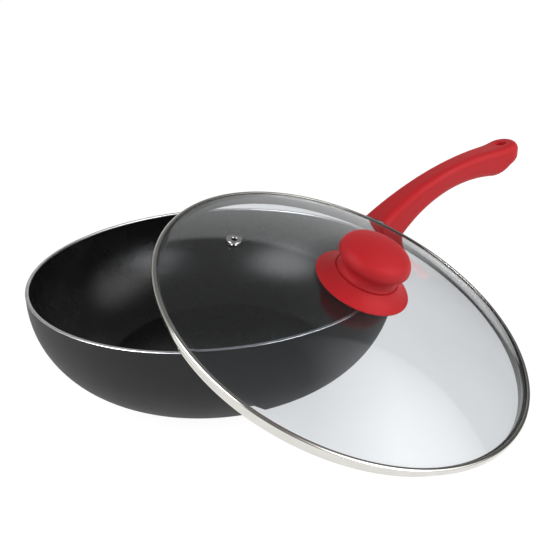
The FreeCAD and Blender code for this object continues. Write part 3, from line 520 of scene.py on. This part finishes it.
def turning_tree():
    """Geometry Nodes: turns a section line round the Z axis, a finish for each span of it."""
    tree, given = new_form(
        "turned_form", ("Section", "Geometry"), ("Steps round", "Int"), ("Join distance", "Float"),
        *((f"Finish {number}", "Material") for number in range(3)))
    section, steps, join, *finishes = given[:6]
    count = add(tree, "GeometryNodeAttributeDomainSize", {"Geometry": section})
    rows = add(tree, "ShaderNodeMath", {0: steps, 1: 1.0}, operation="ADD")
    grid = add(tree, "GeometryNodeMeshGrid", {
        "Vertices X": count.outputs["Point Count"], "Vertices Y": rows})
    index = add(tree, "GeometryNodeInputIndex")
    ring = add(tree, "ShaderNodeMath", {
        0: add(tree, "ShaderNodeMath", {0: index, 1: rows}, operation="DIVIDE"),
    }, operation="FLOOR")
    turn = add(tree, "ShaderNodeMath", {
        0: add(tree, "ShaderNodeMath", {0: index, 1: rows}, operation="MODULO"),
        1: add(tree, "ShaderNodeMath", {0: ROUND, 1: steps}, operation="DIVIDE"),
    }, operation="MULTIPLY")
    spot = add(tree, "GeometryNodeSampleIndex", {
        "Geometry": section, "Value": add(tree, "GeometryNodeInputPosition"), "Index": ring,
    }, data_type="FLOAT_VECTOR")
    swung = add(tree, "ShaderNodeVectorRotate", {
        "Vector": spot, "Angle": turn}, rotation_type="Z_AXIS")
    shaped = add(tree, "GeometryNodeSetPosition", {
        "Geometry": grid.outputs["Mesh"], "Position": swung})
    span = add(tree, "ShaderNodeMath", {
        0: add(tree, "ShaderNodeMath", {0: index, 1: steps}, operation="DIVIDE"),
    }, operation="FLOOR")
    finish = add(tree, "GeometryNodeSampleIndex", {
        "Geometry": section, "Index": span,
        "Value": add(tree, "GeometryNodeInputNamedAttribute", {"Name": "finish"}, data_type="INT"),
    }, data_type="INT")
    marked = add(tree, "GeometryNodeStoreNamedAttribute", {
        "Geometry": shaped, "Name": "finish", "Value": finish}, data_type="INT", domain="FACE")
    joined = add(tree, "GeometryNodeMergeByDistance", {"Geometry": marked, "Distance": join})
    piece = add(tree, "GeometryNodeRealizeInstances", {"Geometry": creased(tree, joined)})
    for number, material in enumerate(finishes):
        chosen = add(tree, "FunctionNodeCompare", {
            "A": add(tree, "GeometryNodeInputNamedAttribute", {"Name": "finish"}, data_type="INT"),
            "B": number}, data_type="INT", operation="EQUAL")
        piece = add(tree, "GeometryNodeSetMaterial", {
            "Geometry": piece, "Selection": chosen, "Material": material})
    add(tree, "NodeGroupOutput", {0: piece})
    return tree


def drilling_tree():
    """Geometry Nodes: drills one round hole through a piece."""
    tree, given = new_form(
        "drilled_form", ("Piece", "Geometry"), ("Hole radius", "Float"), ("Hole depth", "Float"),
        ("Hole place", "Vector"), ("Hole direction", "Vector"), ("Finish", "Material"))
    piece, radius, depth, place, way, finish = given[:6]
    drill = add(tree, "GeometryNodeMeshCylinder", {
        "Vertices": 64, "Radius": radius, "Depth": depth})
    aim = add(tree, "FunctionNodeAlignRotationToVector", {"Vector": way}, axis="Z")
    aimed = add(tree, "GeometryNodeTransform", {
        "Geometry": drill.outputs["Mesh"], "Translation": place, "Rotation": aim})
    cut = add(tree, "GeometryNodeMeshBoolean", {"Mesh 1": piece, "Mesh 2": aimed},
              operation="DIFFERENCE", solver="EXACT")
    whole = add(tree, "GeometryNodeRealizeInstances", {
        "Geometry": creased(tree, cut.outputs["Mesh"])})
    done = add(tree, "GeometryNodeSetMaterial", {"Geometry": whole, "Material": finish})
    add(tree, "NodeGroupOutput", {0: done})
    return tree


def plain_mesh(holder, tree, values, name):
    """Runs a tree on a holder object and returns its result as an object with a plain mesh."""
    modifier = holder.modifiers.new("shape", "NODES")
    modifier.node_group = tree
    for item in tree.interface.items_tree:
        if item.in_out == "INPUT" and item.name in values:
            modifier[item.identifier] = values[item.name]
    graph = bpy.context.evaluated_depsgraph_get()
    mesh = bpy.data.meshes.new_from_object(holder.evaluated_get(graph))
    mesh.name = name
    holder.modifiers.clear()
    old = holder.data
    holder.data = mesh
    bpy.data.meshes.remove(old)
    holder.name = name
    return holder


def turned(name, spans, finishes, steps, place=None):
    """A turned piece from spans of (finish number, points); faces are made to look outwards."""
    points, marks = [], []
    for finish, line in spans:
        for point in line:
            if points and math.dist(points[-1], point) < SAME_POINT:
                marks[-1] = finish
                continue
            points.append(point)
            marks.append(finish)
    mesh = bpy.data.meshes.new(name + "_section")
    mesh.from_pydata([(x, 0, z) for x, z in points],
                     [(n, n + 1) for n in range(len(points) - 1)], [])
    mesh.attributes.new("finish", "INT", "POINT").data.foreach_set("value", marks)
    holder = bpy.data.objects.new(name + "_section", mesh)
    bpy.context.scene.collection.objects.link(holder)
    if "turned_form" not in bpy.data.node_groups:
        turning_tree()
    values = {"Steps round": steps, "Join distance": SAME_VERTEX}
    values.update({f"Finish {number}": finish for number, finish in enumerate(finishes)})
    piece = plain_mesh(holder, bpy.data.node_groups["turned_form"], values, name)
    if place is not None:
        piece.data.transform(place)
    look_outwards(piece.data)
    return piece


def look_outwards(mesh):
    """Turns a closed mesh's faces outwards if its volume comes out negative."""
    work = bmesh.new()
    work.from_mesh(mesh)
    if work.calc_volume(signed=True) < 0:
        bmesh.ops.reverse_faces(work, faces=work.faces)
        work.to_mesh(mesh)
    work.free()


def stands_for(piece, body, slot, *nodes):
    """A finished piece rides on its body and stands for CAD nodes."""
    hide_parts(*nodes)
    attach(piece, body)


def dress(node, material):
    """Gives a CAD node its material."""
    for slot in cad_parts[node].material_slots:
        slot.material = material


def lid_place(sizes):
    """Where the lid lies: from upright about its own axis to leaning on the rim."""
    turn = Euler((0, 0, sizes.turn)).to_matrix().to_4x4()
    tilt = Euler((0, sizes.tilt, 0)).to_matrix().to_4x4()
    return Matrix.Translation(Vector(sizes.place)) @ turn @ tilt


# ---- operators

class WOK_OT_bowl(bpy.types.Operator):
    """Turn the pan: lacquered outside, non-stick inside, bare lip and ringed base"""

    bl_idname = "wok.bowl"
    bl_label = "Pan"

    def execute(self, context):
        s = context.scene.wok_pan
        run = s.rim_radius - s.base_radius
        top = s.height - s.rim_band
        curve = (run * run + top * top) / (2 * run)
        middle = (s.rim_radius - curve, top)
        inner = curve - s.wall
        blend_height = s.base_thick + s.floor_blend
        blend_across = middle[0] + math.sqrt(
            (inner - s.floor_blend) ** 2 - (top - blend_height) ** 2)
        blend = (blend_across, blend_height)
        way = Vector(blend) - Vector(middle)
        meets = tuple(Vector(middle) + way.normalized() * inner)
        base = [(0.0, 0.0)]
        # The grooves' edges and the base's edge are broken by a little.
        edge, base_edge = 0.15 * MM, 0.6 * MM
        for number in range(1, int((s.base_radius - s.ring_width) / s.ring_pitch) + 1):
            near = number * s.ring_pitch
            far = near + s.ring_width
            base += [(near - edge, 0.0), (near, edge), (near, s.ring_depth - edge),
                     (near + edge, s.ring_depth), (far - edge, s.ring_depth),
                     (far, s.ring_depth - edge), (far, edge), (far + edge, 0.0)]
        base.append((s.base_radius - base_edge, 0.0))
        foot = (s.base_radius, 0.0)
        inside = s.rim_radius - s.wall
        turn = 0.999 * s.rim_round
        below = s.height - 1.4 * s.rim_round
        lip = bent([(s.rim_radius, below), (s.rim_radius, s.height), (inside, s.height),
                    (inside, below)], [0, turn, turn, 0], 6)
        # The lacquer runs up the lip's first points, to where it turns over; the rest is bare.
        painted = 3
        outer_steps, inner_steps, blend_steps, floor_rings = 40, 34, 10, 8
        spans = [
            (1, base),
            (0, [foot] + arc(middle, foot, (s.rim_radius, top), outer_steps) + lip[:painted]),
            (1, lip[painted:]),
            (2, [(inside, below), (inside, top)] + arc(middle, (inside, top), meets, inner_steps)
             + arc(blend, meets, (blend_across, s.base_thick), blend_steps)
             + [(blend_across * (1 - ring / floor_rings), s.base_thick)
                for ring in range(1, floor_rings + 1)]),
        ]
        finishes = [sprayed_lacquer(s.lacquer), turned_aluminium(), baked_nonstick(s.coating)]
        pan = turned("pan", spans, finishes, STEPS_ROUND)
        stands_for(pan, "pan", "bowl_finish", "pan_bowl")
        return {"FINISHED"}


class WOK_OT_handle(bpy.types.Operator):
    """Finish the handle: soft grip, hard core, bracket, steel sleeve and fixings"""

    bl_idname = "wok.handle"
    bl_label = "Handle"

    def execute(self, context):
        s = context.scene.wok_handle
        dress("handle_grip", soft_touch("soft_rubber_moulded_grip", s.red, s.grain))
        dress("handle_core", moulded_phenolic(s.core))
        dress("handle_bracket", cast_aluminium())
        dress("flame_guard", brushed_steel())
        plated = plated_steel()
        dress("handle_screw", plated)
        dress("spring_washer", plated)
        return {"FINISHED"}


class WOK_OT_band(bpy.types.Operator):
    """Roll the lid's steel band: a lip over the glass, a shelf and a skirt"""

    bl_idname = "wok.band"
    bl_label = "Lid band"

    def execute(self, context):
        s = context.scene.wok_lid
        place = lid_place(s)
        skirt, outer, sheet = s.skirt_radius, s.outer_radius, s.sheet
        glass_gap = 0.1 * MM
        shelf = s.skirt_drop + sheet
        top = s.skirt_drop + 2 * sheet + s.glass_thick + glass_gap
        foot = outer - s.lip
        bend, inner_bend = s.bend, s.bend - sheet
        # The sheet's cut edges are rounded, above a little more than below.
        cut_edge, under_edge = sheet * 0.4, sheet * 0.3
        # The lip is crowned a little, so that it draws a light line and a dark one.
        crown, flat = s.crown, s.lip - bend
        lip = [(outer - bend - share * flat, top - share * share * crown)
               for share in (0.2, 0.4, 0.6, 0.75)]
        outside = bent([(skirt - sheet / 2, 0.0), (skirt, 0.0), (skirt, s.skirt_drop),
                        (outer, s.skirt_drop), (outer, top), lip[0]],
                       [0, cut_edge, inner_bend, bend, bend, 0], 10)
        edge = bent([lip[-1], (foot, top - crown), (foot, top - sheet - crown * 0.2),
                     (foot + sheet, top - sheet)], [0, cut_edge, under_edge, 0], 5)
        inside = bent([
            (foot + sheet, top - sheet), (outer - sheet, top - sheet), (outer - sheet, shelf),
            (skirt - sheet, shelf), (skirt - sheet, 0.0), (skirt - sheet / 2, 0.0),
        ], [0, inner_bend, inner_bend, bend, cut_edge, 0], 8)
        # The inside is coloured much darker than the outside: a painted dark reflection. Its higher
        # roughness is the inside's real satin.
        finishes = [rolled_steel("stainless_steel_bright_annealed", place),
                    rolled_steel("stainless_steel_satin_inside_painted_dark_reflection", place, 0.2, "93928F", "84837F"),
                    rolled_steel("stainless_steel_satin_lip", place, 0.2)]
        band = turned("band", [(0, outside), (2, lip[1:]), (0, edge), (1, inside)],
                      finishes, BAND_STEPS_ROUND, place)
        stands_for(band, "lid", "band_steel", "lid_band")
        return {"FINISHED"}


class WOK_OT_glass(bpy.types.Operator):
    """Press the lid's glass dome, with its flat rim and its vent hole"""

    bl_idname = "wok.glass"
    bl_label = "Lid glass"

    def execute(self, context):
        s = context.scene.wok_lid
        place = lid_place(s)
        low = s.skirt_drop + s.sheet
        top = low + s.glass_thick
        centre = (0.0, top - math.sqrt(s.dome_curve ** 2 - s.dome_foot ** 2))
        outer, inner = s.dome_curve, s.dome_curve - s.glass_thick

        def on_dome(radius, across):
            return (across, centre[1] + math.sqrt(radius ** 2 - across ** 2))

        inner_foot = math.sqrt(inner ** 2 - (low - centre[1]) ** 2)
        crown, hollow = on_dome(outer, s.glass_hole), on_dome(inner, s.glass_hole)
        edge = bent([(s.dome_foot, top), (s.glass_radius, top), (s.glass_radius, low),
                     (inner_foot, low)], [0, s.glass_round, s.glass_round, 0], 6)
        dome_steps = 44
        line = ([crown] + arc(centre, crown, (s.dome_foot, top), dome_steps) + edge[1:]
                + arc(centre, (inner_foot, low), hollow, dome_steps) + [crown])
        finish = tempered_glass(s.tint, place)
        glass = turned("glass", [(0, line)], [finish], STEPS_ROUND)
        glass = plain_mesh(glass, drilling_tree(), {
            "Hole radius": s.vent_hole, "Hole depth": 4 * s.glass_thick, "Finish": finish,
            "Hole place": tuple(s.vent_place), "Hole direction": tuple(s.vent_way)}, "glass")
        glass.data.transform(place)
        glass.visible_shadow = False
        stands_for(glass, "lid", "lid_glass", "lid_glass")
        return {"FINISHED"}


class WOK_OT_vent(bpy.types.Operator):
    """Finish the steam vent: a steel eyelet on a silicone ring"""

    bl_idname = "wok.vent"
    bl_label = "Steam vent"

    def execute(self, context):
        dress("vent_eyelet", rolled_steel(
            "stainless_steel_eyelet_rolled", None, 0.12, "C8C8C5", "B8B8B5"))
        dress("vent_seal_ring", moulded_silicone())
        return {"FINISHED"}


class WOK_OT_knob(bpy.types.Operator):
    """Finish the knob, its wide brim and the pieces that clamp them to the glass"""

    bl_idname = "wok.knob"
    bl_label = "Knob"

    def execute(self, context):
        s = context.scene.wok_handle
        place = lid_place(context.scene.wok_lid)
        red = soft_touch("soft_rubber_moulded_knob", s.red, s.grain, place)
        dress("knob", red)
        dress("finger_guard", red)
        dress("knob_insert", turned_brass(place))
        silicone = bpy.data.materials["silicone_rubber_moulded"]
        dress("knob_gasket", silicone)
        dress("screw_seal", silicone)
        dress("cup_washer", rolled_steel("stainless_steel_washer_pressed"))
        dress("knob_screw", bpy.data.materials["steel_zinc_plated"])
        return {"FINISHED"}


def direction(heading, height):
    """The unit vector towards a heading and height in degrees."""
    around, above = math.radians(heading), math.radians(height)
    return Vector((math.cos(around) * math.cos(above), math.sin(around) * math.cos(above),
                   math.sin(above)))


def lamp(name, heading, height, distance, across, up, power):
    """A soft box: a rectangular lamp that faces the object, unseen in mirrors and glass."""
    light = bpy.data.lights.new(name, "AREA")
    light.shape = "RECTANGLE"
    light.size, light.size_y = across, up
    light.energy = power
    box = bpy.data.objects.new(name, light)
    way = direction(heading, height)
    facing = way.to_track_quat("Z", "Y").to_matrix().to_4x4()
    box.matrix_world = Matrix.Translation(Vector(LIT_POINT) + way * distance) @ facing
    box.visible_glossy = False
    box.visible_transmission = False
    bpy.context.scene.collection.objects.link(box)


# The room that shines back from glass, steel and coating, with angles in degrees.
# How bright its walls are at each heading, and its ceiling.
WALLS = ((-170, 0.4), (-150, 0.6), (-90, 0.6), (-45, 0.1), (26, 0.1), (38, 0.7), (68, 0.7),
         (88, 0.4), (150, 0.4))
CEILING = 0.2
# The walls end at this height, as a slope by the heading and a start; the ceiling fades in there.
CORNICE_SLOPE, CORNICE_START, CORNICE_FADE = 0.163, 0.509, (-0.035, -0.012)
# The round soft box on the right: its heading and height, the cosines over which its rim goes from
# nothing to full and its face from the rim's share of its strength to all of it, and the heights
# over which its top fades out.
BOX_WAY, BOX_RIM, BOX_FACE, BOX_TOP = (-51.5, 44.2), (0.798, 0.806), (0.802, 0.966), (0.87, 0.65)
BOX_RIM_SHARE, BOX_STRENGTH = 0.18, 2.8
# Round lamps seen in the dark coating: heading, height and reach, and strength.
SPOTS = ((-73, 27, 22, 8.2), (180, 36, 26, 11.0))
# The lamps that light the object: name, heading, height, distance, width, height and watts.
LAMPS = (("right_box", -54, 38, 2.0, 1.3, 1.3, 18.6), ("left_box", -172, 34, 2.0, 1.1, 1.0, 10.5))
LIT_POINT = (0.05, -0.05, 0.05)


class WOK_OT_stage(bpy.types.Operator):
    """Lay the paper floor, light the studio and set up the camera"""

    bl_idname = "wok.stage"
    bl_label = "Stage"

    def execute(self, context):
        s = context.scene.wok_stage
        scene = context.scene
        scene.view_settings.view_transform = "Standard"
        self.lay_floor(s)
        self.light_room(scene, s)
        self.set_camera(scene, s)
        return {"FINISHED"}

    def lay_floor(self, s):
        """White paper: it takes the shadow, and glows so that what looks at it sees white.

        It is darker paper where it is looked at straight, under its glow, and dims in mirrors.
        """
        mesh = bpy.data.meshes.new("floor")
        reach = 6.0
        mesh.from_pydata([(-reach, -reach, 0), (reach, -reach, 0), (reach, reach, 0),
                          (-reach, reach, 0)], [], [(0, 1, 2, 3)])
        floor = bpy.data.objects.new("floor", mesh)
        bpy.context.scene.collection.objects.link(floor)
        paper = bpy.data.materials.new("paper_roll_matt")
        paper.use_nodes = True
        tree = paper.node_tree
        tree.nodes.clear()
        ray = add(tree, "ShaderNodeLightPath")
        clear = add(tree, "ShaderNodeMath", {
            0: ray.outputs["Diffuse Depth"], 1: 0.5}, operation="LESS_THAN")
        unbounced = add(tree, "ShaderNodeMath", {
            0: ray.outputs["Glossy Depth"], 1: 0.5}, operation="LESS_THAN")
        seen = add(tree, "ShaderNodeMath", {0: clear, 1: unbounced}, operation="MULTIPLY")
        tone = add(tree, "ShaderNodeMix", {
            "Factor": seen, "A": linear(s.floor), "B": linear("7C7C7C")}, data_type="RGBA")
        lit = add(tree, "ShaderNodeBsdfDiffuse", {"Color": socket_of(tone.outputs, "Result")})
        level = add(tree, "ShaderNodeMapRange", {"Value": unbounced, "To Min": 0.5, "To Max": 0.95})
        glow = add(tree, "ShaderNodeMath", {0: level, 1: clear}, operation="MULTIPLY")
        white = add(tree, "ShaderNodeEmission", {"Color": (1, 1, 1, 1), "Strength": glow})
        both = add(tree, "ShaderNodeAddShader", {0: lit, 1: white})
        add(tree, "ShaderNodeOutputMaterial", {"Surface": both})
        mesh.materials.append(paper)

    def light_room(self, scene, s):
        """Even light on the object, and for mirrors walls, a dim ceiling and soft boxes."""
        world = bpy.data.worlds.new("studio")
        scene.world = world
        world.use_nodes = True
        tree = world.node_tree
        tree.nodes.clear()
        ray = add(tree, "ShaderNodeLightPath")
        looking = add(tree, "ShaderNodeTexCoord").outputs["Generated"]
        way = add(tree, "ShaderNodeSeparateXYZ", {"Vector": looking})
        height = way.outputs["Z"]
        heading = add(tree, "ShaderNodeMath", {
            0: way.outputs["Y"], 1: way.outputs["X"]}, operation="ARCTAN2").outputs[0]
        round_share = add(tree, "ShaderNodeMapRange", {
            "Value": heading, "From Min": -math.pi, "From Max": math.pi})
        walls = add(tree, "ShaderNodeValToRGB", {"Fac": round_share})
        for place, level in WALLS:
            stop = walls.color_ramp.elements.new((place + 180) / 360)
            stop.color = (level, level, level, 1)
        for spare in (walls.color_ramp.elements[0], walls.color_ramp.elements[-1]):
            spare.color = (WALLS[0][1],) * 3 + (1,)
        cornice = add(tree, "ShaderNodeMath", {
            0: heading, 1: CORNICE_SLOPE, 2: CORNICE_START}, operation="MULTIPLY_ADD")
        over = add(tree, "ShaderNodeMath", {0: height, 1: cornice}, operation="SUBTRACT")
        above = add(tree, "ShaderNodeMapRange", {
            "Value": over, "From Min": CORNICE_FADE[0], "From Max": CORNICE_FADE[1]})
        wall = socket_of(add(tree, "ShaderNodeMix", {
            "Factor": above, "A": walls, "B": CEILING}, data_type="FLOAT").outputs, "Result")
        off_centre = add(tree, "ShaderNodeVectorMath", {
            0: looking, 1: direction(*BOX_WAY)}, operation="DOT_PRODUCT").outputs["Value"]
        rim = add(tree, "ShaderNodeMapRange", {
            "Value": off_centre, "From Min": BOX_RIM[0], "From Max": BOX_RIM[1]})
        face = add(tree, "ShaderNodeMapRange", {
            "Value": off_centre, "From Min": BOX_FACE[0], "From Max": BOX_FACE[1],
            "To Min": BOX_RIM_SHARE})
        fade = add(tree, "ShaderNodeMapRange", {
            "Value": height, "From Min": BOX_TOP[0], "From Max": BOX_TOP[1]})
        disc = add(tree, "ShaderNodeMath", {0: rim, 1: face}, operation="MULTIPLY")
        box = add(tree, "ShaderNodeMath", {0: disc, 1: fade}, operation="MULTIPLY")
        mirrored = add(tree, "ShaderNodeMath", {0: box, 1: BOX_STRENGTH, 2: wall},
                       operation="MULTIPLY_ADD")
        for spot_heading, spot_height, reach, strength in SPOTS:
            near = add(tree, "ShaderNodeVectorMath", {
                0: looking, 1: direction(spot_heading, spot_height)},
                operation="DOT_PRODUCT").outputs["Value"]
            spot = add(tree, "ShaderNodeMapRange", {
                "Value": near, "From Min": math.cos(math.radians(reach)),
                "From Max": math.cos(math.radians(reach / 3)), "To Max": strength})
            mirrored = add(tree, "ShaderNodeMath", {0: mirrored, 1: spot}, operation="ADD")
        bounced = add(tree, "ShaderNodeMath", {
            0: ray.outputs["Glossy Depth"], 1: 0.5}, operation="GREATER_THAN")
        scattered = add(tree, "ShaderNodeMath", {
            0: ray.outputs["Diffuse Depth"], 1: 0.5}, operation="GREATER_THAN")
        straight = add(tree, "ShaderNodeMath", {
            0: ray.outputs["Is Camera Ray"], 1: ray.outputs["Is Transmission Ray"]},
            operation="MAXIMUM")
        seen = add(tree, "ShaderNodeMix", {
            "Factor": straight, "A": s.ambient, "B": 1.0}, data_type="FLOAT")
        shiny = add(tree, "ShaderNodeMix", {
            "Factor": bounced, "A": socket_of(seen.outputs, "Result"), "B": mirrored},
            data_type="FLOAT")
        strength = add(tree, "ShaderNodeMix", {
            "Factor": scattered, "A": socket_of(shiny.outputs, "Result"), "B": s.ambient},
            data_type="FLOAT")
        back = add(tree, "ShaderNodeBackground", {
            "Color": (1, 1, 1, 1), "Strength": socket_of(strength.outputs, "Result")})
        add(tree, "ShaderNodeOutputWorld", {"Surface": back})
        for values in LAMPS:
            lamp(*values)

    def set_camera(self, scene, s):
        """The camera, from its heading, dip and roll."""
        data = bpy.data.cameras.new("camera")
        data.lens = s.lens
        data.sensor_width = 36
        forward = Vector((math.cos(s.heading) * math.cos(s.dip),
                          math.sin(s.heading) * math.cos(s.dip), -math.sin(s.dip)))
        across = Vector((math.sin(s.heading), -math.cos(s.heading), 0))
        up = across.cross(forward)
        right = math.cos(s.roll) * across + math.sin(s.roll) * up
        above = -math.sin(s.roll) * across + math.cos(s.roll) * up
        camera = bpy.data.objects.new("camera", data)
        camera.matrix_world = Matrix.Translation(Vector(s.eye)) @ Matrix(
            (right, above, -forward)).transposed().to_4x4()
        scene.collection.objects.link(camera)
        scene.camera = camera


class WOK_PT_panel(bpy.types.Panel):
    """Lists the sizes, colours and operators of the wok."""

    bl_idname = "WOK_PT_panel"
    bl_label = "Wok with glass lid"
    bl_space_type = "VIEW_3D"
    bl_region_type = "UI"
    bl_category = "Wok"

    def draw(self, context):
        for group, operators in STEPS:
            box = self.layout.box()
            sizes = getattr(context.scene, group)
            for name in sizes.bl_rna.properties.keys():
                if name not in ("rna_type", "name"):
                    box.prop(sizes, name)
            for operator in operators:
                box.operator(operator.bl_idname)


STEPS = (
    ("wok_pan", (WOK_OT_bowl,)),
    ("wok_handle", (WOK_OT_handle,)),
    ("wok_lid", (WOK_OT_band, WOK_OT_glass, WOK_OT_vent, WOK_OT_knob)),
    ("wok_stage", (WOK_OT_stage,)),
)
GROUPS = (("wok_pan", WokPanSizes), ("wok_handle", WokHandleSizes),
          ("wok_lid", WokLidSizes), ("wok_stage", WokStageSizes))


def register():
    """Registers the property groups, the operators and the panel."""
    for name, group in GROUPS:
        bpy.utils.register_class(group)
        setattr(bpy.types.Scene, name, PointerProperty(type=group))
    for _, operators in STEPS:
        for operator in operators:
            bpy.utils.register_class(operator)
    bpy.utils.register_class(WOK_PT_panel)


def unregister():
    """Takes everything out again, in the opposite order."""
    bpy.utils.unregister_class(WOK_PT_panel)
    for _, operators in reversed(STEPS):
        for operator in reversed(operators):
            bpy.utils.unregister_class(operator)
    for name, group in reversed(GROUPS):
        delattr(bpy.types.Scene, name)
        bpy.utils.unregister_class(group)


def main():
    """Makes every piece and sets up the stage."""
    register()
    bpy.ops.wok.bowl()
    bpy.ops.wok.handle()
    bpy.ops.wok.band()
    bpy.ops.wok.glass()
    bpy.ops.wok.vent()
    bpy.ops.wok.knob()
    bpy.ops.wok.stage()


if __name__ == "__main__":
    main()
